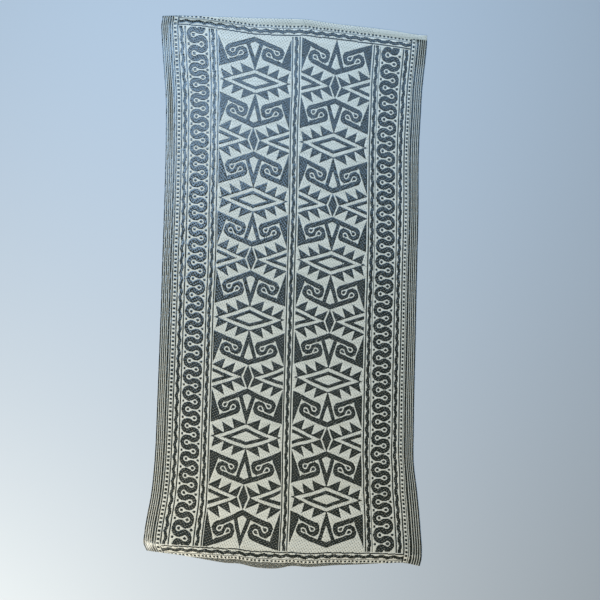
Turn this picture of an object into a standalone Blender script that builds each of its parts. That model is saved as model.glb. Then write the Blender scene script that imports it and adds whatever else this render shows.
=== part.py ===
"""A plaited rattan mat, lying flat. Metres, +Z up, +Y towards the head, origin at the middle of its underside."""

import math
from collections import namedtuple

import bpy
import numpy as np

NAME = "woven_rattan_mat"
SHEET = "mat"

# Driving sizes
THICKNESS = 0.0020        # two rattan strips, one over the other
COLUMNS = 44              # grid faces across the mat
ROWS = 50                 # grid faces along the mat
END_CROWDING = 0.55       # how much closer the rows stand near the head and the foot
SIDE_CROWDING = 0.25      # how much closer the columns stand near the sides

# The two side edges, in metres from the middle line.
# share is counted from the foot, 0, to the head, 1.
Side = namedtuple("Side", "share left right")
SIDES = [
    Side(0.000, -0.522, 0.521),
    Side(0.012, -0.534, 0.527),
    Side(0.030, -0.533, 0.528),
    Side(0.060, -0.525, 0.523),
    Side(0.100, -0.511, 0.515),
    Side(0.145, -0.502, 0.504),
    Side(0.190, -0.497, 0.491),
    Side(0.260, -0.494, 0.488),
    Side(0.430, -0.488, 0.488),
    Side(0.550, -0.485, 0.488),
    Side(0.660, -0.482, 0.489),
    Side(0.790, -0.482, 0.486),
    Side(0.850, -0.485, 0.490),
    Side(0.900, -0.494, 0.494),
    Side(0.950, -0.503, 0.503),
    Side(0.985, -0.507, 0.508),
    Side(1.000, -0.503, 0.508),
]

# The foot and head edges, in metres from the middle, and the crest of the soft swell beside each.
# share is counted from the left side, 0, to the right side, 1.
End = namedtuple("End", "share foot head foot_crest head_crest")
ENDS = [
    End(0.000, -0.993, 1.049, 0.006, 0.003),
    End(0.040, -0.998, 1.051, 0.008, 0.003),
    End(0.120, -1.007, 1.051, 0.009, 0.004),
    End(0.210, -1.022, 1.050, 0.007, 0.004),
    End(0.290, -1.034, 1.049, 0.004, 0.003),
    End(0.345, -1.036, 1.048, 0.006, 0.002),
    End(0.400, -1.048, 1.048, 0.003, 0.003),
    End(0.490, -1.050, 1.048, 0.004, 0.005),
    End(0.535, -1.041, 1.047, 0.008, 0.006),
    End(0.600, -1.043, 1.039, 0.006, 0.004),
    End(0.690, -1.035, 1.029, 0.007, 0.003),
    End(0.790, -1.029, 1.020, 0.006, 0.004),
    End(0.890, -1.022, 1.008, 0.009, 0.005),
    End(0.950, -1.020, 0.999, 0.008, 0.006),
    End(1.000, -1.031, 0.995, 0.004, 0.006),
]
END_REACH = 0.150         # how far in from an end its swell is felt
END_CREST_AT = 0.035      # how far in from an end the crest runs

# Soft swells beside the two sides.
# side is 0 at the left and 1 at the right, share and half_share are shares of the length, from the foot.
Swell = namedtuple("Swell", "side share crest half_share")
SIDE_SWELLS = [
    Swell(0, 0.30, 0.003, 0.16),
    Swell(0, 0.83, 0.004, 0.12),
    Swell(1, 0.17, 0.004, 0.14),
    Swell(1, 0.62, 0.003, 0.18),
]
SIDE_REACH = 0.090        # how far in from a side its swell is felt
SIDE_CREST_AT = 0.030     # how far in from a side the crest runs

COLOUR = (0.23, 0.225, 0.19, 1.0)
ROUGHNESS = 0.5


def column(rows, name):
    """One named column of a table as an array."""
    return np.array([getattr(row, name) for row in rows])


def curve_through(stations, values, at):
    """A smooth curve through the values at the stations, read at the places asked for."""
    slopes = np.gradient(values, stations)
    at = np.clip(at, stations[0], stations[-1])
    i = np.clip(np.searchsorted(stations, at, side="right") - 1, 0, len(stations) - 2)
    span = stations[i + 1] - stations[i]
    t = (at - stations[i]) / span
    start = (1 + 2 * t) * (1 - t) ** 2 * values[i] + t * (1 - t) ** 2 * slopes[i] * span
    end = t * t * (3 - 2 * t) * values[i + 1] + t * t * (t - 1) * slopes[i + 1] * span
    return start + end


def ease(t):
    """0 to 1 with level ends."""
    t = np.clip(t, 0, 1)
    return t * t * (3 - 2 * t)


def outline(u, v):
    """Where the point lies in plan: u runs from the left side to the right, v from the foot to the head."""
    share = column(SIDES, "share")
    left = curve_through(share, column(SIDES, "left"), v)
    right = curve_through(share, column(SIDES, "right"), v)
    across = column(ENDS, "share")
    foot = curve_through(across, column(ENDS, "foot"), u)
    head = curve_through(across, column(ENDS, "head"), u)
    return left + (right - left) * u, foot + (head - foot) * v


def swell(inward, crest_at, reach):
    """A soft ridge beside an edge, 1 high at its crest and down on the floor at the edge itself."""
    return ease(inward / crest_at) * ease((reach - inward) / (reach - crest_at))


def height(u, v):
    """How far the underside stands off the floor. It is zero all over the middle and along the rim."""
    across = column(ENDS, "share")
    foot = curve_through(across, column(ENDS, "foot"), u)
    head = curve_through(across, column(ENDS, "head"), u)
    length = head - foot
    foot_crest = curve_through(across, column(ENDS, "foot_crest"), u)
    head_crest = curve_through(across, column(ENDS, "head_crest"), u)
    z = foot_crest * swell(v * length, END_CREST_AT, END_REACH)
    z = z + head_crest * swell((1 - v) * length, END_CREST_AT, END_REACH)
    along = column(SIDES, "share")
    width = curve_through(along, column(SIDES, "right") - column(SIDES, "left"), v)
    for row in SIDE_SWELLS:
        inward = np.abs(u - row.side) * width
        fade = ease(1 - np.abs(v - row.share) / row.half_share)
        z = z + row.crest * fade * swell(inward, SIDE_CREST_AT, SIDE_REACH)
    return z * ease(u * width / SIDE_CREST_AT) * ease((1 - u) * width / SIDE_CREST_AT)


def crowded(t, crowding):
    """Spreads 0 to 1 so that the steps are shorter near both ends."""
    return t - crowding * np.sin(2 * math.pi * t) / (2 * math.pi)


def clear_scene():
    for obj in list(bpy.data.objects):
        bpy.data.objects.remove(obj, do_unlink=True)


def rattan_material():
    material = bpy.data.materials.new("plaited_rattan")
    material.use_nodes = True
    shader = material.node_tree.nodes["Principled BSDF"]
    shader.inputs["Base Color"].default_value = COLOUR
    shader.inputs["Roughness"].default_value = ROUGHNESS
    shader.inputs["Metallic"].default_value = 0.0
    return material


def plaited_sheet(collection):
    """The mat: a grid drawn out to the outline, laid on its swells and given its thickness."""
    bpy.ops.mesh.primitive_grid_add(x_subdivisions=COLUMNS, y_subdivisions=ROWS, size=1)
    sheet = bpy.context.active_object
    sheet.name = SHEET
    sheet.data.name = SHEET
    count = len(sheet.data.vertices)
    points = np.empty(count * 3)
    sheet.data.vertices.foreach_get("co", points)
    points = points.reshape(count, 3)
    u = crowded(np.round(points[:, 0] + 0.5, 6), SIDE_CROWDING)
    v = crowded(np.round(points[:, 1] + 0.5, 6), END_CROWDING)
    x, y = outline(u, v)
    points[:, 0] = x - (x.min() + x.max()) / 2
    points[:, 1] = y - (y.min() + y.max()) / 2
    points[:, 2] = height(u, v)
    sheet.data.vertices.foreach_set("co", points.ravel())
    sheet.data.update()
    thicken = sheet.modifiers.new("thickness", "SOLIDIFY")
    thicken.thickness = THICKNESS
    thicken.offset = 1.0
    sheet.data.shade_smooth()
    sheet.data.materials.append(rattan_material())
    for other in list(sheet.users_collection):
        other.objects.unlink(sheet)
    collection.objects.link(sheet)
    return sheet


def main():
    clear_scene()
    collection = bpy.data.collections.new(NAME)
    bpy.context.scene.collection.children.link(collection)
    plaited_sheet(collection)


main()
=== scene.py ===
"""A plaited rattan mat seen from straight above.

Black-dyed strips run along it and natural strips run across it, as real ribbons that pass over and under.
"""

import math
from collections import namedtuple

import bpy
import numpy as np
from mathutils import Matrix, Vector


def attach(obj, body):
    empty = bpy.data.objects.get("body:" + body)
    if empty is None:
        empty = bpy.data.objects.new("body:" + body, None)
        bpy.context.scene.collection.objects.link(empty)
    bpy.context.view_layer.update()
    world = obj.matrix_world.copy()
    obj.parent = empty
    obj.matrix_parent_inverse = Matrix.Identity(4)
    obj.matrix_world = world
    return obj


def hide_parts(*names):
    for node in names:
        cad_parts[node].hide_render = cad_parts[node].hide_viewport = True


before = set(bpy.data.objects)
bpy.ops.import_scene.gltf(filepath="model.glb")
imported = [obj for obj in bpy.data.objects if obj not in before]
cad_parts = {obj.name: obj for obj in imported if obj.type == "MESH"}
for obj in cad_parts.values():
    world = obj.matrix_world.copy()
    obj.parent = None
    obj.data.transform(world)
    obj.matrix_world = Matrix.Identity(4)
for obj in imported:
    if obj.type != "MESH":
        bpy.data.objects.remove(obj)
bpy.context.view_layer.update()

# Sizes of the sheet: its thickness, its edges and its swells are those of the CAD source.
THICKNESS = 0.0020        # two rattan strips, one over the other

# The two side edges, in metres from the middle line.
# share is counted from the foot, 0, to the head, 1.
Side = namedtuple("Side", "share left right")
SIDES = [
    Side(0.000, -0.522, 0.521),
    Side(0.012, -0.534, 0.527),
    Side(0.030, -0.533, 0.528),
    Side(0.060, -0.525, 0.523),
    Side(0.100, -0.511, 0.515),
    Side(0.145, -0.502, 0.504),
    Side(0.190, -0.497, 0.491),
    Side(0.260, -0.494, 0.488),
    Side(0.430, -0.488, 0.488),
    Side(0.550, -0.485, 0.488),
    Side(0.660, -0.482, 0.489),
    Side(0.790, -0.482, 0.486),
    Side(0.850, -0.485, 0.490),
    Side(0.900, -0.494, 0.494),
    Side(0.950, -0.503, 0.503),
    Side(0.985, -0.507, 0.508),
    Side(1.000, -0.503, 0.508),
]

# The foot and head edges, in metres from the middle, and the crest of the soft swell beside each.
# share is counted from the left side, 0, to the right side, 1.
End = namedtuple("End", "share foot head foot_crest head_crest")
ENDS = [
    End(0.000, -0.993, 1.049, 0.006, 0.003),
    End(0.040, -0.998, 1.051, 0.008, 0.003),
    End(0.120, -1.007, 1.051, 0.009, 0.004),
    End(0.210, -1.022, 1.050, 0.007, 0.004),
    End(0.290, -1.034, 1.049, 0.004, 0.003),
    End(0.345, -1.036, 1.048, 0.006, 0.002),
    End(0.400, -1.048, 1.048, 0.003, 0.003),
    End(0.490, -1.050, 1.048, 0.004, 0.005),
    End(0.535, -1.041, 1.047, 0.008, 0.006),
    End(0.600, -1.043, 1.039, 0.006, 0.004),
    End(0.690, -1.035, 1.029, 0.007, 0.003),
    End(0.790, -1.029, 1.020, 0.006, 0.004),
    End(0.890, -1.022, 1.008, 0.009, 0.005),
    End(0.950, -1.020, 0.999, 0.008, 0.006),
    End(1.000, -1.031, 0.995, 0.004, 0.006),
]
END_REACH = 0.150         # how far in from an end its swell is felt
END_CREST_AT = 0.035      # how far in from an end the crest runs
RIM_POINTS = 401          # points along each edge when the box of the outline is measured

# Soft swells beside the two sides.
# side is 0 at the left and 1 at the right, share and half_share are shares of the length, from the foot.
Swell = namedtuple("Swell", "side share crest half_share")
SIDE_SWELLS = [
    Swell(0, 0.30, 0.003, 0.16),
    Swell(0, 0.83, 0.004, 0.12),
    Swell(1, 0.17, 0.004, 0.14),
    Swell(1, 0.62, 0.003, 0.18),
]
SIDE_REACH = 0.090        # how far in from a side its swell is felt
SIDE_CREST_AT = 0.030     # how far in from a side the crest runs

# The plait
ACROSS = 400              # dyed strips, which run along the mat, counted from the left side
ALONG = 850               # natural strips, which run across the mat, counted from the foot
STRIP_RISE = 0.00050      # how far a strip rises above or dips below the middle of the sheet
STRIP_COVER = 0.985       # width of a strip as a share of its room
SKIN_COVER = 0.96         # how much of the step to the next number a strip spans in the map named Strip
TUCK = 0.8                # how much of a strip is turned back under at each edge, in strips
TUCK_DIP = 1.5            # how far the turned-back end lies below the middle of the sheet, in rises
LONGEST_FACE = 9          # crossings that one face may span
FACE_STAGGER = 3          # crossings by which the joints of long faces shift from strip to strip
BAKE_RIM = 0.005          # how much of the bake map is left empty at each side

# The pieces of the mat, and which strips each one holds.
Piece = namedtuple("Piece", "name along_mat first last")
PIECES = [
    Piece("dyed_strips_left", True, 0, ACROSS // 2),
    Piece("dyed_strips_right", True, ACROSS // 2, ACROSS),
    Piece("natural_strips_foot", False, 0, ALONG // 3),
    Piece("natural_strips_middle", False, ALONG // 3, 2 * (ALONG // 3)),
    Piece("natural_strips_head", False, 2 * (ALONG // 3), ALONG),
]

# Where the plait is drawn sideways inside the outline: the shift in metres, then shares of the width
# over which it sets in (start, rise) and ends (stop, fall), and shares of the length (low, high, soft).
Pull = namedtuple("Pull", "shift start rise stop fall low high soft")
PULLS = [
    Pull(-0.0076, 0.42, 0.14, 1.00, 0.055, -1.0, 0.185, 0.055),
    Pull(0.0024, 0.14, 0.06, 0.34, 0.06, -1.0, 0.140, 0.05),
    Pull(-0.0045, 0.28, 0.06, 0.47, 0.06, -1.0, 0.140, 0.05),
    Pull(-0.0050, 0.28, 0.06, 0.47, 0.06, 0.090, 0.200, 0.04),
    Pull(0.0024, 0.80, 0.03, 0.925, 0.02, 0.20, 0.36, 0.04),
    Pull(0.0030, 0.085, 0.02, 0.30, 0.08, 0.47, 0.64, 0.06),
    Pull(0.0026, 0.78, 0.05, 0.925, 0.02, 0.47, 0.66, 0.06),
    Pull(-0.0035, 0.30, 0.06, 0.47, 0.05, 0.755, 0.84, 0.03),
    Pull(0.0040, 0.11, 0.05, 0.68, 0.12, 0.83, 2.0, 0.05),
]

# The ties that hold down long floats stand on lattices: a crossing's place in the lattice is
# across times the dyed strip's number plus along times the natural one's, counted round in periods.
Lattice = namedtuple("Lattice", "across along period")
CLOSE = Lattice(1, 5, 13)      # in broad fields
WIDE = Lattice(5, -1, 29)      # in lines and waves
# The foot margin has the dyed strips on top at most crossings: partly its own darker plait, partly painted
# shade of the foot edge, which droops away from the light.
MARGIN = Lattice(1, 1, 3)      # in the margin at the foot
CLOSE_DYED = (0, 5)       # places where a dyed strip ties down the natural ones in broad fields
CLOSE_NATURAL = (0, 1)    # places where a natural strip ties down the dyed ones there
WIDE_DYED = 8             # the place where a dyed strip ties down the natural ones in light lines
WIDE_NATURAL = 3          # the place where a natural strip ties down the dyed ones in dark lines and waves
MARGIN_NATURAL = 0        # the same in the margin at the foot
BROAD = 2                 # crossings to either side over which a broad field has to hold
NATURAL_PINCH = 0.20      # width that shows of a natural strip where it ties down the dyed ones, as a share
MARGIN_PINCH = 0.42       # the same in the margin at the foot
DYED_PINCH = 0.42         # the same for a dyed strip over the natural ones

# Wavy lines and rows of dots: at is the middle, crest or first is where along the mat one stands.
Wave = namedtuple("Wave", "at step crest")
Dots = namedtuple("Dots", "at step first")

# The two side borders, in strips from the side edge: the middle of each line, wave and band.
# fine is where the fine lines end, and loop_side where the first loop of the serpentine band lies.
Border = namedtuple("Border", "name loop_side fine dots dots_line outer_wave outer_line serpent "
                    "inner_line inner_wave last_line")
LEFT = Border(name="left", loop_side=1, fine=18.6, dots=Dots(21.0, 6.52, 432.7), dots_line=25.0,
              outer_wave=Wave(30.6, 19.41, 433.9), outer_line=36.0, serpent=53.3,
              inner_line=70.7, inner_wave=Wave(76.2, 19.23, 434.4), last_line=81.6)
RIGHT = Border(name="right", loop_side=-1, fine=17.4, dots=Dots(19.6, 6.385, 433.1), dots_line=22.8,
               outer_wave=Wave(28.9, 19.11, 438.4), outer_line=34.0, serpent=51.7,
               inner_line=67.8, inner_wave=Wave(72.9, 19.04, 442.3), last_line=78.3)
BORDER_PAST = 1.8         # from the middle of the last line to where the middle field begins
FINE_STEP = 3.15          # from one fine light line at the side to the next
FINE_FIRST = 2.5          # the outermost fine light line
FINE_WIDTH = 1.0          # a fine light line
LINE_WIDTH = 2.0          # a plain line
DOT_SIZE = 3.7            # a dot
WAVE_WIDTH = 4.8          # a wavy line
WAVE_SWING = 0.9          # how far it swings to either side
SPINE = Wave(202.9, 19.11, 430.4)    # the wave between the two columns
SPINE_LINE = 5.5          # how far the lines beside it stand from its middle
FIELD_PAST = 2.0          # from the middle of a line to where ties are set as in the middle field

# The serpentine bands: where some of the loops stand along the mat, counted in loops from the foot.
Loop = namedtuple("Loop", "count left right")
LOOPS = [
    Loop(-1, 14.5, 18.0),
    Loop(0, 28.2, 31.5),
    Loop(2, 57.0, 59.0),
    Loop(7, 125.2, 123.3),
    Loop(20, 294.2, 289.3),
    Loop(32, 449.3, 442.3),
    Loop(44, 604.3, 594.7),
    Loop(57, 766.0, 758.4),
    Loop(58, 778.0, 771.2),
    Loop(60, 805.9, 797.1),
    Loop(61, 821.0, 810.3),
    Loop(62, 834.6, 824.0),
]
LAST_LOOP = 61
SERPENT_HALF = 16.0       # half the width of the strip of mat that a band fills
LOOP_STEP = 12.8          # from one loop to the next in the band's own measure
EYE = 5.2                 # how far the eye of a loop stands from the middle line
ARM_REACH = 9.8           # how far the dark arm reaches sideways from the eye
LAST_ARM_REACH = 7.0      # the same for the arms that close the band at the foot and the head
ARM_RISE = 12.0           # how far it reaches along the band
EYE_RADIUS = 4.1          # the light ring of the eye
PUPIL_RADIUS = 2.3        # the dark spot in it
TAIL_HALF = 0.8           # half the width of the light tail that leads to the eye
TAIL_AT_EYE = [(EYE, 3.9), (EYE - 9.0, 0.0), (EYE, -3.9)]
TAIL_AT_SIDE = [(-EYE - 9.5, 4.4), (-EYE + 1.0, 0.0), (-EYE - 9.5, -4.4)]
BEAD = (-EYE - 7.6, 0.0)  # the dark bead where the tail opens at the side of the band
BEAD_RADIUS = 2.0
NOTCH = [(-4.0, -2.0), (0.0, 4.2), (4.0, -2.0)]    # the light notch in the end of a closing arm
ARM_END = -1.0            # where the closing arm ends beside its notch

# The two columns of the middle field.
# first is 0 where the lowest row has half diamonds and 1 where it has a whole one.
# The rows lean by skew_foot at the foot and by skew_head at the head, and by turn less in the lowest row.
Column = namedtuple("Column", "name centre half skew_foot skew_head turn first")
COLUMNS = [
    Column("left", 139.5, 55.2, 0.112, -0.064, 0.0375, 0),
    Column("right", 265.1, 53.9, -0.079, 0.020, 0.0, 1),
]
TURN_BELOW = 70.0         # the turn sets in below this natural strip
TURN_OVER = 50.0          # and is whole so many strips further down

# Where the middles of the motif rows stand along the mat.
Row = namedtuple("Row", "count left right")
ROWS = [
    Row(-1, -0.8, 10.0),
    Row(0, 104.2, 104.4),
    Row(1, 198.1, 198.3),
    Row(2, 291.5, 291.5),
    Row(3, 382.5, 383.5),
    Row(4, 475.7, 475.4),
    Row(5, 567.5, 565.6),
    Row(6, 660.7, 659.6),
    Row(7, 751.3, 751.6),
    Row(8, 838.0, 843.0),
]
ROW_COUNT = 8

# The motif in its own measure: places are counted from the column's middle and from the row's middle.
ROW_STEP = 92.5           # from one motif row to the next
HALF = 55.0               # half the width of a column
SLOPE = 0.372             # rise of most slanting edges

# The teeth of a row stand on a slanting edge, and their tips lean outwards or inwards.
Tooth = namedtuple("Tooth", "inner outer tip height")
FULL_TEETH = [
    Tooth(0.0, 18.3, 22.4, 29.0),
    Tooth(18.3, 33.6, 37.7, 23.2),
    Tooth(33.6, 48.9, 53.0, 17.4),
]
HALF_TEETH = [
    Tooth(9.5, 24.3, 3.4, 17.0),
    Tooth(25.1, 39.9, 19.4, 22.9),
    Tooth(40.7, 55.5, 35.4, 28.8),
]

# Diamonds drawn one over the other: half the width and half the height of each, and whether it is dark.
Diamond = namedtuple("Diamond", "reach rise dark")
FULL_DIAMONDS = [
    Diamond(49.8, 18.8, False),
    Diamond(37.3, 13.4, True),
    Diamond(21.5, 7.9, False),
]
LOZENGES = [
    Diamond(10.2, 21.2, False),
    Diamond(7.2, 18.8, True),
]
FULL_EDGE = 20.6          # height of the dark edge of a whole diamond's row at the column's middle
FULL_FOOT = 19.0          # height where its teeth stand
HALF_START = 10.2         # where the outer edge of a half diamond meets the row's middle
HALF_EDGE = 2.2           # how far its dark rim reaches above that edge
HALF_EDGE_FROM = 9.0      # where the dark rim begins
HALF_TOOTH_LIFT = 1.0     # how much higher the outer foot of a tooth stands there
HALF_SLOPE = 0.36         # rise of the half diamond's inner edges
HALF_DARK = 22.3          # where its dark part begins on the row's middle
HALF_LIGHT = 37.8         # where the light part within begins

# The scrolled hook between the two kinds of row
HOOK_LOW = 18.3           # height of its lower edge at the column's middle
HOOK_LOW_SLOPE = 0.385
HOOK_HIGH = 56.2          # height of its upper edge at HOOK_HIGH_AT
HOOK_HIGH_AT = 13.3
HOOK_HIGH_SLOPE = 0.367
HOOK_PEAK = 75.0          # height of the peak where its leg ends
HOOK_PEAK_OUTER = 70.0    # the same in the lowest row
HOOK_START = 18.0         # where the hook begins above the half row
HOOK_START_OUTER = 8.0    # the same at the foot and the head
LEG_HALF = 13.5           # half the width of the leg at LEG_FOOT
LEG_FOOT = 28.5
LEG_GAP = 1.9             # the light line beside the leg
KITE = [(-1.0, 55.0), (0.0, 52.5), (7.0, 30.0), (0.0, 26.6), (-1.0, 26.6)]
LOW_BAR = 8.4             # width of the bar along the lower edge
LOW_BAR_END = 34.5
HIGH_BAR = 9.4            # width of the bar along the upper edge
HIGH_BAR_START = 17.5
BLOCK = [(21.1, 46.3), (33.8, 43.4)]
BLOCK_WIDTH = 22.8
SHOULDER = (20.5, 48.4)   # the round shoulder of the block
SHOULDER_RADIUS = 10.6
CORNER_GAP = [(58.4, 5.0), (39.8, 58.5), (42.0, 60.0), (60.0, 8.0)]
CORNER = [(60.0, 5.0), (41.6, 58.2), (41.6, 66.6), (60.0, 73.4)]

# The two light lines that wind into the scroll.
# Each begins in a wide mouth and ends in a drop with a dark heart, round its eye.
Winding = namedtuple("Winding", "line mouth eye tip")
WINDINGS = [
    Winding([(41.0, 57.0), (36.0, 55.6), (31.5, 54.2), (27.5, 52.3)],
            [(42.2, 58.4), (35.0, 55.2), (38.8, 53.2), (42.8, 50.8)], (21.0, 46.4), (27.9, 52.8)),
    Winding([(13.6, 32.6), (19.5, 34.7), (25.0, 36.6), (28.6, 38.7)],
            [(12.6, 31.3), (19.6, 34.5), (15.5, 36.6), (11.2, 39.0)], (34.1, 43.4), (27.1, 37.6)),
]
WINDING_WIDTH = 1.7
DROP_RADIUS = 4.2
HEART_RADIUS = 2.4
HEART_REACH = 0.55        # length of the heart as a share of the drop's

# How far the wavy lines of the foot and the head stand from their edges. The real mat's edges curl under at
# the corners; the sheet here is not curled.
EndWave = namedtuple("EndWave", "across foot head")
END_WAVES = [
    EndWave(0, 6.5, 8.0),
    EndWave(35, 7.3, 8.6),
    EndWave(60, 10.3, 10.0),
    EndWave(85, 13.6, 13.1),
    EndWave(110, 16.6, 16.1),
    EndWave(140, 17.2, 19.2),
    EndWave(180, 20.2, 20.1),
    EndWave(220, 16.0, 19.8),
    EndWave(260, 15.6, 18.4),
    EndWave(300, 13.3, 19.1),
    EndWave(330, 11.9, 19.9),
    EndWave(370, 8.6, 19.2),
    EndWave(400, 6.5, 18.5),
]
END_LINE = 5              # how far the lines stand from the wave: two strips on its inner side, one outside
END_DOTS = 8.0            # how far the dots stand from it, on the outer side
END_PLAIN = 10.5          # where the plain margin begins
END_FIELD = 7.6           # how far inside the wave the border ends
END_DOT_SIZE = 3.0        # a dot
END_WAVE_WIDTH = 5.2      # a wavy line
END_WAVE_SWING = 1.0      # how far it swings to either side

# Their steps and crests are counted across the mat, and at is 0 because END_WAVES says where they stand.
FOOT_RUN = Wave(0.0, 17.2, 156.9)
HEAD_RUN = Wave(0.0, 17.0, 249.7)
FOOT_DOTS = Dots(0.0, 5.68, 157.1)
HEAD_DOTS = Dots(0.0, 5.7, 152.9)

# Split rattan: its deepest and palest tone, its roughness from the smoothest to the roughest fibre,
# and how strongly the crowned skin shows.
Look = namedtuple("Look", "deep pale smooth rough crown")
DYED = Look((0.005, 0.007, 0.005, 1), (0.016, 0.020, 0.013, 1), 0.27, 0.34, 0.10)
NATURAL = Look((0.56, 0.515, 0.385, 1), (0.84, 0.775, 0.64, 1), 0.32, 0.42, 0.15)
SPECULAR = 0.6
STRIP_SHARE = 0.45        # how much a strip's own tone counts
DRIFT_SHARE = 0.35        # how much the slow drifts along a strip count
FIBRE_SHARE = 0.35        # how much the fibres count
TONE_SPREAD = 0.45        # how far the sum may go from the middle before the tone is at its end
DRIFT_APART = 7.31        # keeps the drifts of neighbouring strips unlike
DRIFT_RATE = 0.035        # drifts for each crossing along a strip
FIBRES = 9.0              # fibres across a strip
FIBRE_RATE = 0.35         # changes of a fibre for each crossing
FIBRE_RELIEF = 0.05       # height of the fibres as a share of the crown
CROWN_POWER = 4.0         # how flat the crown is in its middle
CROWN_DEPTH = 0.0003

# The floor
FLOOR_SIZE = 60.0
FLOOR_DEEP = (0.60, 0.61, 0.62, 1)
FLOOR_PALE = (0.64, 0.65, 0.66, 1)
FLOOR_PATCHES = 3.0       # how close its deeper and paler patches stand
FLOOR_ROUGHNESS = 0.8

# The camera stands straight above and is turned by the mat's lean in the frame.
FRAME_WIDTH = 2.292       # metres of floor across the frame
FRAME_MIDDLE = (0.0439, -0.0247)
LEAN = math.radians(1.180)
CAMERA_HEIGHT = 4.2
SENSOR_WIDTH = 36.0       # millimetres
FARTHEST = 50.0           # how far the camera sees

# The light: a soft room, a warm key and a blue window over the head half
ROOM_COLOUR = (0.96, 0.98, 0.88, 1)
ROOM_STRENGTH = 0.16
Light = namedtuple("Light", "name where aim size power colour")
LIGHTS = [
    Light("key", (-1.9, -2.4, 2.0), (-0.2, -0.35, 0.0), (1.2, 1.2), 91.0, (1.0, 0.98, 0.89)),
    Light("window", (-0.1, 1.7, 3.0), (-0.05, 0.9, 0.0), (2.2, 0.4), 50.0, (0.34, 0.62, 1.0)),
    Light("window_side", (-0.75, 1.15, 3.0), (-0.4, 0.65, 0.0), (0.5, 0.6), 32.0, (0.50, 0.72, 1.0)),
]


def column(rows, name):
    """One named column of a table as an array."""
    return np.array([getattr(row, name) for row in rows])


def curve_through(stations, values, at):
    """A smooth curve through the values at the stations, read at the places asked for."""
    slopes = np.gradient(values, stations)
    at = np.clip(at, stations[0], stations[-1])
    i = np.clip(np.searchsorted(stations, at, side="right") - 1, 0, len(stations) - 2)
    span = stations[i + 1] - stations[i]
    t = (at - stations[i]) / span
    start = (1 + 2 * t) * (1 - t) ** 2 * values[i] + t * (1 - t) ** 2 * slopes[i] * span
    end = t * t * (3 - 2 * t) * values[i + 1] + t * t * (t - 1) * slopes[i + 1] * span
    return start + end


def ease(t):
    """0 to 1 with level ends."""
    t = np.clip(t, 0, 1)
    return t * t * (3 - 2 * t)


def outline(u, v):
    """Where the point lies in plan: u runs from the left side to the right, v from the foot to the head."""
    share = column(SIDES, "share")
    left = curve_through(share, column(SIDES, "left"), v)
    right = curve_through(share, column(SIDES, "right"), v)
    across = column(ENDS, "share")
    foot = curve_through(across, column(ENDS, "foot"), u)
    head = curve_through(across, column(ENDS, "head"), u)
    return left + (right - left) * u, foot + (head - foot) * v


def swell(inward, crest_at, reach):
    """A soft ridge beside an edge, 1 high at its crest and down on the floor at the edge itself."""
    return ease(inward / crest_at) * ease((reach - inward) / (reach - crest_at))


def height(u, v):
    """How far the underside stands off the floor. It is zero all over the middle and along the rim."""
    across = column(ENDS, "share")
    foot = curve_through(across, column(ENDS, "foot"), u)
    head = curve_through(across, column(ENDS, "head"), u)
    length = head - foot
    foot_crest = curve_through(across, column(ENDS, "foot_crest"), u)
    head_crest = curve_through(across, column(ENDS, "head_crest"), u)
    z = foot_crest * swell(v * length, END_CREST_AT, END_REACH)
    z = z + head_crest * swell((1 - v) * length, END_CREST_AT, END_REACH)
    along = column(SIDES, "share")
    width = curve_through(along, column(SIDES, "right") - column(SIDES, "left"), v)
    for row in SIDE_SWELLS:
        inward = np.abs(u - row.side) * width
        fade = ease(1 - np.abs(v - row.share) / row.half_share)
        z = z + row.crest * fade * swell(inward, SIDE_CREST_AT, SIDE_REACH)
    return z * ease(u * width / SIDE_CREST_AT) * ease((1 - u) * width / SIDE_CREST_AT)


def plan_middle():
    """The middle of the outline's box, which stands over the origin."""
    steps = np.linspace(0, 1, RIM_POINTS)
    zero, one = np.zeros_like(steps), np.ones_like(steps)
    x, y = outline(np.concatenate([steps, steps, zero, one]), np.concatenate([zero, one, steps, steps]))
    return (x.min() + x.max()) / 2, (y.min() + y.max()) / 2


MIDDLE = plan_middle()


def pulled(u, v):
    """How far the strips are drawn sideways at this place."""
    shift = 0.0
    for pull in PULLS:
        across = ease((u - pull.start) / pull.rise) * ease((pull.stop - u) / pull.fall)
        along = ease((v - pull.low) / pull.soft) * ease((pull.high - v) / pull.soft)
        shift = shift + pull.shift * across * along
    return shift


def place(u, v, lift):
    """The place on the mat: lift is the height above the middle of the sheet's thickness."""
    x, y = outline(u, v)
    x = x + pulled(u, v)
    z = height(u, v) + THICKNESS / 2 + lift
    return np.stack([x - MIDDLE[0], y - MIDDLE[1], z], axis=-1)


# Shapes of the design, all counted in strips


def within(p, q, corners):
    """Which points lie inside the polygon."""
    hit = np.zeros(np.broadcast(p, q).shape, bool)
    for (x0, y0), (x1, y1) in zip(corners, corners[1:] + corners[:1]):
        if y0 == y1:
            continue
        crosses = ((y0 <= q) & (q < y1)) | ((y1 <= q) & (q < y0))
        hit ^= crosses & (p < x0 + (q - y0) * (x1 - x0) / (y1 - y0))
    return hit


def near(p, q, path, width):
    """Which points lie within half the width of a path."""
    hit = np.zeros(np.broadcast(p, q).shape, bool)
    for (x0, y0), (x1, y1) in zip(path, path[1:]):
        dx, dy = x1 - x0, y1 - y0
        t = np.clip(((p - x0) * dx + (q - y0) * dy) / (dx * dx + dy * dy), 0, 1)
        hit |= np.hypot(p - x0 - t * dx, q - y0 - t * dy) < width / 2
    return hit


def disc(p, q, centre, radius):
    """Which points lie inside the circle."""
    return np.hypot(p - centre[0], q - centre[1]) < radius


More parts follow.
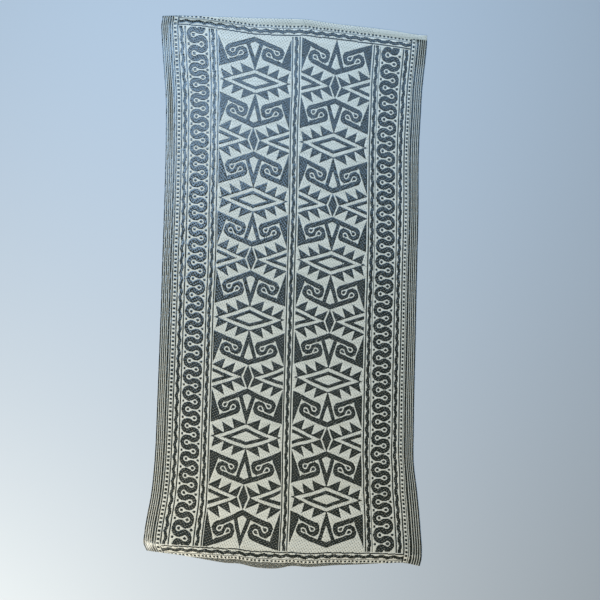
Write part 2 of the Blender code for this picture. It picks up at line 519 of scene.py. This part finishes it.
def teardrop(p, q, centre, radius, tip):
    """A disc drawn out to a tip."""
    dx, dy = tip[0] - centre[0], tip[1] - centre[1]
    turn = math.acos(radius / math.hypot(dx, dy))
    aim = math.atan2(dy, dx)
    sides = [(centre[0] + radius * math.cos(aim + k * turn), centre[1] + radius * math.sin(aim + k * turn))
             for k in (-1, 1)]
    return disc(p, q, centre, radius) | within(p, q, [sides[0], tip, sides[1]])


def from_nearest(along, first, step):
    """How far the place is from the nearest of a run of marks."""
    return np.mod(along - first + step / 2, step) - step / 2


def draw_diamonds(dark, p, q, shapes):
    """The design with the diamonds drawn over it, in the order of their table."""
    for shape in shapes:
        dark = np.where(np.abs(p) / shape.reach + np.abs(q) / shape.rise < 1, shape.dark, dark)
    return dark


def full_row(a, r):
    """Dark parts of a row with a whole diamond: a from the column's middle, r from the row's middle."""
    dark = r < FULL_EDGE - SLOPE * a
    for tooth in FULL_TEETH:
        feet = [(at, FULL_FOOT - SLOPE * at) for at in (tooth.inner, tooth.outer)]
        dark |= within(a, r, feet + [(tooth.tip, tooth.height)])
    return draw_diamonds(dark, a, r, FULL_DIAMONDS)


def half_row(a, w):
    """Dark parts of a row with two half diamonds at the column's sides and a lozenge in its middle."""
    edge = SLOPE * (a - HALF_START)
    dark = (w < edge + HALF_EDGE) & (a > HALF_EDGE_FROM)
    for tooth in HALF_TEETH:
        feet = [(tooth.inner, SLOPE * (tooth.inner - HALF_START)),
                (tooth.outer, SLOPE * (tooth.outer - HALF_START) + HALF_TOOTH_LIFT)]
        dark |= within(a, w, feet + [(tooth.tip, tooth.height)])
    dark &= w > edge
    dark |= w < HALF_SLOPE * (a - HALF_DARK)
    dark &= ~(w < HALF_SLOPE * (a - HALF_LIGHT))
    return draw_diamonds(dark, a, w, LOZENGES)


def hook(a, w, peak):
    """Dark parts of the scrolled hook: its leg rises to the peak."""
    low = HOOK_LOW + HOOK_LOW_SLOPE * a
    high = HOOK_HIGH + HOOK_HIGH_SLOPE * (a - HOOK_HIGH_AT)
    leg = LEG_HALF * (peak - w) / (peak - LEG_FOOT)
    # the block of the scroll and its two bars
    dark = near(a, w, BLOCK, BLOCK_WIDTH) | disc(a, w, SHOULDER, SHOULDER_RADIUS)
    dark |= (w < low + LOW_BAR) & (a < LOW_BAR_END)
    dark |= (w > high - HIGH_BAR) & (a > HIGH_BAR_START)
    dark &= (w > low) & (w < high)
    # the leg, with a light kite in it
    dark &= ~((w > low + LOW_BAR) & (a < leg + LEG_GAP))
    dark |= (w > low) & (a < leg)
    dark &= ~within(a, w, KITE)
    # the corner triangle
    dark &= ~within(a, w, CORNER_GAP)
    dark |= within(a, w, CORNER)
    for winding in WINDINGS:
        eye, tip = winding.eye, winding.tip
        dark &= ~near(a, w, winding.line, WINDING_WIDTH) & ~within(a, w, winding.mouth)
        dark &= ~teardrop(a, w, eye, DROP_RADIUS, tip)
        heart = (eye[0] + HEART_REACH * (tip[0] - eye[0]), eye[1] + HEART_REACH * (tip[1] - eye[1]))
        dark |= teardrop(a, w, eye, HEART_RADIUS, heart)
    return dark


def motif(a, w, at_foot, at_head):
    """The quarter of the repeat that the rest mirrors: w runs from a half row, 0, to a full row."""
    at_end = at_foot | at_head
    rows = half_row(a, w) | full_row(a, ROW_STEP - w)
    peak = np.where(at_foot, HOOK_PEAK_OUTER, HOOK_PEAK)
    start = np.where(at_end, HOOK_START_OUTER, HOOK_START)
    return (rows & ~at_end) | (hook(a, w, peak) & (w > start))


def columns(i, j):
    """The two columns of the middle field."""
    dark = np.zeros(i.shape, bool)
    counts = column(ROWS, "count")
    for row in COLUMNS:
        s = i - row.centre
        skew = row.skew_foot + (row.skew_head - row.skew_foot) * j / ALONG
        skew = skew - row.turn * ease((TURN_BELOW - j) / TURN_OVER)
        count = curve_through(column(ROWS, row.name), counts, j - skew * s)
        # more than half a row below the lowest row or above the highest, only the hooks go on
        at_foot = count < -0.5
        at_head = count > ROW_COUNT - 0.5
        t = ROW_STEP * np.mod(count - row.first, 2)
        w = np.minimum(t, 2 * ROW_STEP - t)
        a = np.abs(s) * HALF / row.half
        dark = np.where(np.abs(s) < row.half, motif(a, w, at_foot, at_head), dark)
    return dark


def wave_line(off, along, wave, width=WAVE_WIDTH, swing=WAVE_SWING):
    """A wavy line: off is counted from its middle."""
    return np.abs(off - swing * np.cos(2 * np.pi * (along - wave.crest) / wave.step)) < width / 2


def dot_row(off, along, dots, size=DOT_SIZE):
    """A row of dots: off is counted from its middle."""
    return (np.abs(off) < size / 2) & (np.abs(from_nearest(along, dots.first, dots.step)) < size / 2)


def from_loop(s, t, n, loop_side):
    """Where a point lies from the middle of loop n: across towards its eye, and along."""
    return s * loop_side * (1 - 2 * np.mod(n, 2)), (t - n) * LOOP_STEP


def serpentine(s, j, border):
    """A dark band that winds round light loops: s from its middle line."""
    t = curve_through(column(LOOPS, border.name), column(LOOPS, "count"), j)
    nearest = np.round(t)
    dark = np.zeros(np.broadcast(s, t).shape, bool)
    for step in (-1, 0, 1):
        n = np.clip(nearest + step, -1, LAST_LOOP + 1)
        p, q = from_loop(s, t, n, border.loop_side)
        reach = np.where((n < 0) | (n > LAST_LOOP), LAST_ARM_REACH, ARM_REACH)
        dark |= ((p - EYE) / reach) ** 2 + (q / ARM_RISE) ** 2 < 1
    for step in (-1, 0, 1):
        n = np.clip(nearest + step, 0, LAST_LOOP)
        p, q = from_loop(s, t, n, border.loop_side)
        dark &= ~((np.abs(q) < TAIL_HALF) & (p < EYE))
        dark &= ~within(p, q, TAIL_AT_EYE)
        dark &= ~within(p, q, TAIL_AT_SIDE)
        dark &= ~disc(p, q, (EYE, 0.0), EYE_RADIUS)
        dark |= disc(p, q, (EYE, 0.0), PUPIL_RADIUS)
        dark |= disc(p, q, BEAD, BEAD_RADIUS)
    for n, up in ((-1, 1), (LAST_LOOP + 1, -1)):
        q = (t - n) * LOOP_STEP * up
        dark &= (q > ARM_END) & ~within(s, q, NOTCH)
    return dark


def side_border(e, j, border):
    """One side border: e counts the strips from that side's edge."""
    dark = (e < border.fine) & (np.abs(from_nearest(e, FINE_FIRST, FINE_STEP)) >= FINE_WIDTH / 2)
    dark |= dot_row(e - border.dots.at, j, border.dots)
    for line in (border.dots_line, border.outer_line, border.inner_line, border.last_line):
        dark |= np.abs(e - line) < LINE_WIDTH / 2
    for wave in (border.outer_wave, border.inner_wave):
        dark |= wave_line(e - wave.at, j, wave)
    s = e - border.serpent
    return np.where(np.abs(s) < SERPENT_HALF, serpentine(s, j, border), dark)


def end_border(off, i, run, dots):
    """The border at the foot or the head: off counts the strips inwards from its wavy line."""
    row = np.round(off)
    dark = dot_row(row + END_DOTS, i, dots, END_DOT_SIZE)
    dark |= (row == END_LINE) | (row == END_LINE + 1) | (row == -END_LINE)
    return dark | wave_line(off, i, run, END_WAVE_WIDTH, END_WAVE_SWING)


def design():
    """Which strip shows at each crossing, true for the dyed one, and where the margin of the foot is, whose
    dark plait is partly painted shade.
    """
    i, j = np.meshgrid(np.arange(ACROSS) + 0.5, np.arange(ALONG) + 0.5, indexing="ij")
    dark = columns(i, j)
    spine = wave_line(i - SPINE.at, j, SPINE)
    spine |= np.abs(np.abs(i - SPINE.at) - SPINE_LINE) < LINE_WIDTH / 2
    dark = np.where(np.abs(i - SPINE.at) < SPINE_LINE + FIELD_PAST, spine, dark)
    for border, e in ((LEFT, i), (RIGHT, ACROSS - i)):
        dark = np.where(e < border.last_line + BORDER_PAST, side_border(e, j, border), dark)
    across = column(END_WAVES, "across")
    foot = j - curve_through(across, column(END_WAVES, "foot"), i)
    head = ALONG - j - curve_through(across, column(END_WAVES, "head"), i)
    past_lines = LINE_WIDTH / 2
    middle = (i > LEFT.dots_line + past_lines) & (i < ACROSS - RIGHT.dots_line - past_lines)
    for off, run, dots in ((foot, FOOT_RUN, FOOT_DOTS), (head, HEAD_RUN, HEAD_DOTS)):
        dark = np.where(middle & (off < END_FIELD), end_border(off, i, run, dots), dark)
    # beyond the foot's border the margin is drawn dark: partly its own plait, partly painted shade of the
    # drooping foot edge
    shaded_foot_margin = foot < -END_PLAIN
    return (dark | (shaded_foot_margin & middle)) & (head >= -END_PLAIN), shaded_foot_margin


def kept(mask, axis):
    """Where the mask holds at a crossing and at those to either side of it."""
    whole = mask.copy()
    for k in range(1, BROAD + 1):
        if axis == 0:
            whole[k:, :] &= mask[:-k, :]
            whole[:-k, :] &= mask[k:, :]
        else:
            whole[:, k:] &= mask[:, :-k]
            whole[:, :-k] &= mask[:, k:]
    return whole


def counted(lattice, i, j):
    """The place of a crossing in the lattice."""
    return np.mod(lattice.across * i + lattice.along * j, lattice.period)


def tied(dark, shaded_foot_margin):
    """The design with its long floats tied down, and how wide the two strips show at each crossing."""
    i = np.arange(ACROSS)[:, None]
    j = np.arange(ALONG)[None, :]
    close = counted(CLOSE, i, j)
    wide = counted(WIDE, i, j)
    in_columns = (i > LEFT.last_line + FIELD_PAST) & (i < ACROSS - RIGHT.last_line - FIELD_PAST)
    in_columns = in_columns & (np.abs(i - SPINE.at) > SPINE_LINE + FIELD_PAST)
    light_field = kept(~dark, 0) & in_columns
    light_line = ~dark & ~light_field & kept(~dark, 1)
    dark_field = kept(dark, 0) & kept(dark, 1)
    dark_line = dark & ~dark_field & (kept(dark, 0) | kept(dark, 1))
    dyed_ties = (light_field & np.isin(close, CLOSE_DYED)) | (light_line & (wide == WIDE_DYED))
    # few natural ties in the foot margin keep it dark, partly as painted shade
    margin_ties = dark & shaded_foot_margin & (counted(MARGIN, i, j) == MARGIN_NATURAL)
    natural_ties = (dark_field & np.isin(close, CLOSE_NATURAL)) | (dark_line & (wide == WIDE_NATURAL))
    dyed_width = np.where(dyed_ties, np.where(light_field, DYED_PINCH, NATURAL_PINCH), 1.0)
    natural_width = np.where(margin_ties, MARGIN_PINCH, np.where(natural_ties, NATURAL_PINCH, 1.0))
    return (dark | dyed_ties) & ~natural_ties & ~margin_ties, dyed_width, natural_width


def strip_points(on_top, width, first, last):
    """Where the strips first to last have a point: strip, order along it, place, height and width."""
    state = on_top[first:last]
    count, length = state.shape
    begins = np.ones_like(state)
    begins[:, 1:] = state[:, 1:] != state[:, :-1]
    ends = np.ones_like(state)
    ends[:, :-1] = begins[:, 1:]
    numbers = np.arange(first, last)[:, None]
    joints = np.mod(np.arange(length)[None, :] + FACE_STAGGER * numbers, LONGEST_FACE) == 0
    line, at = np.nonzero(begins | ends | joints)
    lift = np.where(state[line, at], STRIP_RISE, -STRIP_RISE)
    # the strip's own points are ordered from 2, between the two turned-back ends
    parts = [np.stack([line, at + 2.0, at + 0.5, lift, width[first:last][line, at]])]
    dip = -TUCK_DIP * STRIP_RISE
    foot_tail = [(0.0, TUCK, dip), (1.0, 0.0, 0.0)]
    head_tail = [(length + 3.0, length, 0.0), (length + 4.0, length - TUCK, dip)]
    for order, spot, rise in foot_tail + head_tail:
        parts.append(np.stack(np.broadcast_arrays(np.arange(count), order, spot, rise, 1.0)))
    table = np.concatenate(parts, axis=1)
    return table[:, np.lexsort((table[1], table[0]))], length


def ribbons(on_top, width, piece):
    """Points, faces and two maps of a piece's strips. on_top and width have one row for each strip."""
    (lines, order, spots, lifts, widths), length = strip_points(on_top, width, piece.first, piece.last)
    # along the unrolled strip the turned-back ends go on outwards
    unrolled = np.where(order == 0.0, -TUCK, np.where(order == length + 4.0, length + TUCK, spots))
    middle = piece.first + lines + 0.5
    points, strip, bake = [], [], []
    for edge in (-0.5, 0.5):
        side = middle + edge * STRIP_COVER * widths
        laid, flat = (side, spots), (side, unrolled)
        if not piece.along_mat:
            laid, flat = laid[::-1], flat[::-1]
        points.append(place(laid[0] / ACROSS, laid[1] / ALONG, lifts))
        flat = np.stack([flat[0] / ACROSS, flat[1] / ALONG], axis=-1)
        strip.append(np.stack([middle + SKIN_COVER * edge * widths, unrolled], axis=-1))
        bake.append(BAKE_RIM + (1 - 2 * BAKE_RIM) * flat)
    points = np.stack(points, axis=1).reshape(-1, 3)
    strip = np.stack(strip, axis=1).reshape(-1, 2)
    bake = np.stack(bake, axis=1).reshape(-1, 2)
    start = 2 * np.flatnonzero(lines[1:] == lines[:-1])
    quads = np.stack([start, start + 1, start + 3, start + 2], axis=-1)
    if not piece.along_mat:
        quads = quads[:, ::-1]
    return points, quads, strip, bake


def mesh_piece(name, points, quads, strip, bake, material):
    """One mesh object with its two UV maps."""
    mesh = bpy.data.meshes.new(name)
    mesh.vertices.add(len(points))
    mesh.vertices.foreach_set("co", points.astype(np.float32).ravel())
    mesh.loops.add(quads.size)
    mesh.loops.foreach_set("vertex_index", quads.astype(np.int32).ravel())
    mesh.polygons.add(len(quads))
    mesh.polygons.foreach_set("loop_start", np.arange(0, quads.size, 4, dtype=np.int32))
    mesh.polygons.foreach_set("loop_total", np.full(len(quads), 4, dtype=np.int32))
    mesh.update(calc_edges=True)
    mesh.validate()
    for title, where in (("OFBake", bake), ("Strip", strip)):
        layer = mesh.uv_layers.new(name=title)
        layer.data.foreach_set("uv", where[quads.ravel()].astype(np.float32).ravel())
    mesh.shade_smooth()
    mesh.materials.append(material)
    piece = bpy.data.objects.new(name, mesh)
    bpy.context.scene.collection.objects.link(piece)
    return piece


def node(tree, kind, **values):
    """A new node with the values of its inputs."""
    made = tree.nodes.new(kind)
    for key, value in values.items():
        made.inputs[key.replace("_", " ")].default_value = value
    return made


def math_node(tree, operation, first, second=None):
    """The result of one sum on numbers or on other nodes' results."""
    made = tree.nodes.new("ShaderNodeMath")
    made.operation = operation
    for k, value in enumerate((first, second)):
        if value is None:
            continue
        if isinstance(value, (int, float)):
            made.inputs[k].default_value = value
        else:
            tree.links.new(value, made.inputs[k])
    return made.outputs[0]


def noise(tree, x, y, detail, roughness):
    """Smooth noise read at the place x, y."""
    where = tree.nodes.new("ShaderNodeCombineXYZ")
    tree.links.new(x, where.inputs[0])
    tree.links.new(y, where.inputs[1])
    made = node(tree, "ShaderNodeTexNoise", Scale=1.0, Detail=detail, Roughness=roughness)
    tree.links.new(where.outputs[0], made.inputs["Vector"])
    return made.outputs["Fac"]


def mapped(tree, value, **limits):
    """The value brought from one range to another."""
    made = node(tree, "ShaderNodeMapRange", **limits)
    tree.links.new(value, made.inputs["Value"])
    return made.outputs[0]


def mix_colours(tree, amount, first, second):
    """A blend of two colours."""
    made = tree.nodes.new("ShaderNodeMix")
    made.data_type = "RGBA"
    made.inputs[6].default_value = first
    made.inputs[7].default_value = second
    tree.links.new(amount, made.inputs[0])
    return made.outputs[2]


def strip_material(name, look):
    """Split rattan: each strip has its own tone, fine fibres along it and a crowned, glossy skin."""
    material = bpy.data.materials.new(name)
    material.use_nodes = True
    tree = material.node_tree
    shader = tree.nodes["Principled BSDF"]
    shader.inputs["Specular IOR Level"].default_value = SPECULAR
    uv = tree.nodes.new("ShaderNodeUVMap")
    uv.uv_map = "Strip"
    parts = tree.nodes.new("ShaderNodeSeparateXYZ")
    tree.links.new(uv.outputs[0], parts.inputs[0])
    across, along = parts.outputs[0], parts.outputs[1]
    strip_number = math_node(tree, "FLOOR", across)
    # a tone for each strip, and slower drifts along it where one strip ends and the next takes over
    whole = tree.nodes.new("ShaderNodeTexWhiteNoise")
    whole.noise_dimensions = "1D"
    tree.links.new(strip_number, whole.inputs["W"])
    apart = math_node(tree, "MULTIPLY", strip_number, DRIFT_APART)
    drift_along = math_node(tree, "MULTIPLY", along, DRIFT_RATE)
    drift = noise(tree, apart, drift_along, detail=2.0, roughness=0.5)
    fibre_across = math_node(tree, "MULTIPLY", across, FIBRES)
    fibre_along = math_node(tree, "MULTIPLY", along, FIBRE_RATE)
    fibre = noise(tree, fibre_across, fibre_along, detail=3.0, roughness=0.6)
    shade = math_node(tree, "MULTIPLY", whole.outputs["Value"], STRIP_SHARE)
    shade = math_node(tree, "ADD", shade, math_node(tree, "MULTIPLY", drift, DRIFT_SHARE))
    shade = math_node(tree, "ADD", shade, math_node(tree, "MULTIPLY", fibre, FIBRE_SHARE))
    spread = mapped(tree, shade, From_Min=0.5 - TONE_SPREAD, From_Max=0.5 + TONE_SPREAD)
    colour = mix_colours(tree, spread, look.deep, look.pale)
    tree.links.new(colour, shader.inputs["Base Color"])
    gloss = mapped(tree, fibre, To_Min=look.smooth, To_Max=look.rough)
    tree.links.new(gloss, shader.inputs["Roughness"])
    # the crowned skin, with the fibres on it
    off = math_node(tree, "ABSOLUTE", math_node(tree, "SUBTRACT", math_node(tree, "FRACT", across), 0.5))
    fall = math_node(tree, "POWER", math_node(tree, "MULTIPLY", off, 2.0), CROWN_POWER)
    dome = math_node(tree, "SUBTRACT", 1.0, fall)
    relief = math_node(tree, "ADD", dome, math_node(tree, "MULTIPLY", fibre, FIBRE_RELIEF))
    bump = node(tree, "ShaderNodeBump", Strength=look.crown, Distance=CROWN_DEPTH)
    tree.links.new(relief, bump.inputs["Height"])
    tree.links.new(bump.outputs[0], shader.inputs["Normal"])
    return material


def floor_material():
    """A plain pale floor, a little uneven in tone."""
    material = bpy.data.materials.new("pale_floor")
    material.use_nodes = True
    tree = material.node_tree
    shader = tree.nodes["Principled BSDF"]
    patches = node(tree, "ShaderNodeTexNoise", Scale=FLOOR_PATCHES, Detail=2.0)
    colour = mix_colours(tree, patches.outputs["Fac"], FLOOR_DEEP, FLOOR_PALE)
    tree.links.new(colour, shader.inputs["Base Color"])
    shader.inputs["Roughness"].default_value = FLOOR_ROUGHNESS
    return material


def build_mat():
    """The five pieces: the dyed strips in two halves, the natural strips in three parts."""
    on_top, dyed_width, natural_width = tied(*design())
    dyed = strip_material("dyed_rattan", DYED)
    natural = strip_material("natural_rattan", NATURAL)
    for row in PIECES:
        if row.along_mat:
            piece = mesh_piece(row.name, *ribbons(on_top, dyed_width, row), dyed)
        else:
            piece = mesh_piece(row.name, *ribbons(~on_top.T, natural_width.T, row), natural)
        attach(piece, "root")
        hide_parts("mat")


def camera():
    """A camera that frames the mat as the photo does."""
    data = bpy.data.cameras.new("camera")
    data.type = "PERSP"
    data.sensor_width = SENSOR_WIDTH
    data.lens = SENSOR_WIDTH * CAMERA_HEIGHT / FRAME_WIDTH
    data.clip_end = FARTHEST
    made = bpy.data.objects.new("camera", data)
    bpy.context.scene.collection.objects.link(made)
    made.location = (FRAME_MIDDLE[0] - MIDDLE[0], FRAME_MIDDLE[1] - MIDDLE[1], CAMERA_HEIGHT)
    made.rotation_euler = (0.0, 0.0, LEAN)
    bpy.context.scene.camera = made


def area_light(row):
    """One rectangular light, turned to what it is aimed at."""
    data = bpy.data.lights.new(row.name, "AREA")
    data.shape = "RECTANGLE"
    data.size, data.size_y = row.size
    data.energy = row.power
    data.color = row.colour
    made = bpy.data.objects.new(row.name, data)
    bpy.context.scene.collection.objects.link(made)
    made.location = row.where
    made.rotation_euler = (Vector(row.aim) - Vector(row.where)).to_track_quat("-Z", "Y").to_euler()


def floor_and_light():
    """The plain floor, the soft room and the lights."""
    bpy.ops.mesh.primitive_plane_add(size=FLOOR_SIZE, location=(0, 0, 0))
    floor = bpy.context.active_object
    floor.name = "floor"
    floor.data.materials.append(floor_material())
    world = bpy.data.worlds.new("soft_world")
    world.use_nodes = True
    background = world.node_tree.nodes["Background"]
    background.inputs["Color"].default_value = ROOM_COLOUR
    background.inputs["Strength"].default_value = ROOM_STRENGTH
    scene = bpy.context.scene
    scene.world = world
    for row in LIGHTS:
        area_light(row)
    scene.view_settings.view_transform = "Standard"
    scene.view_settings.look = "None"
    scene.view_settings.exposure = 0.0
    scene.view_settings.gamma = 1.0


build_mat()
floor_and_light()
camera()
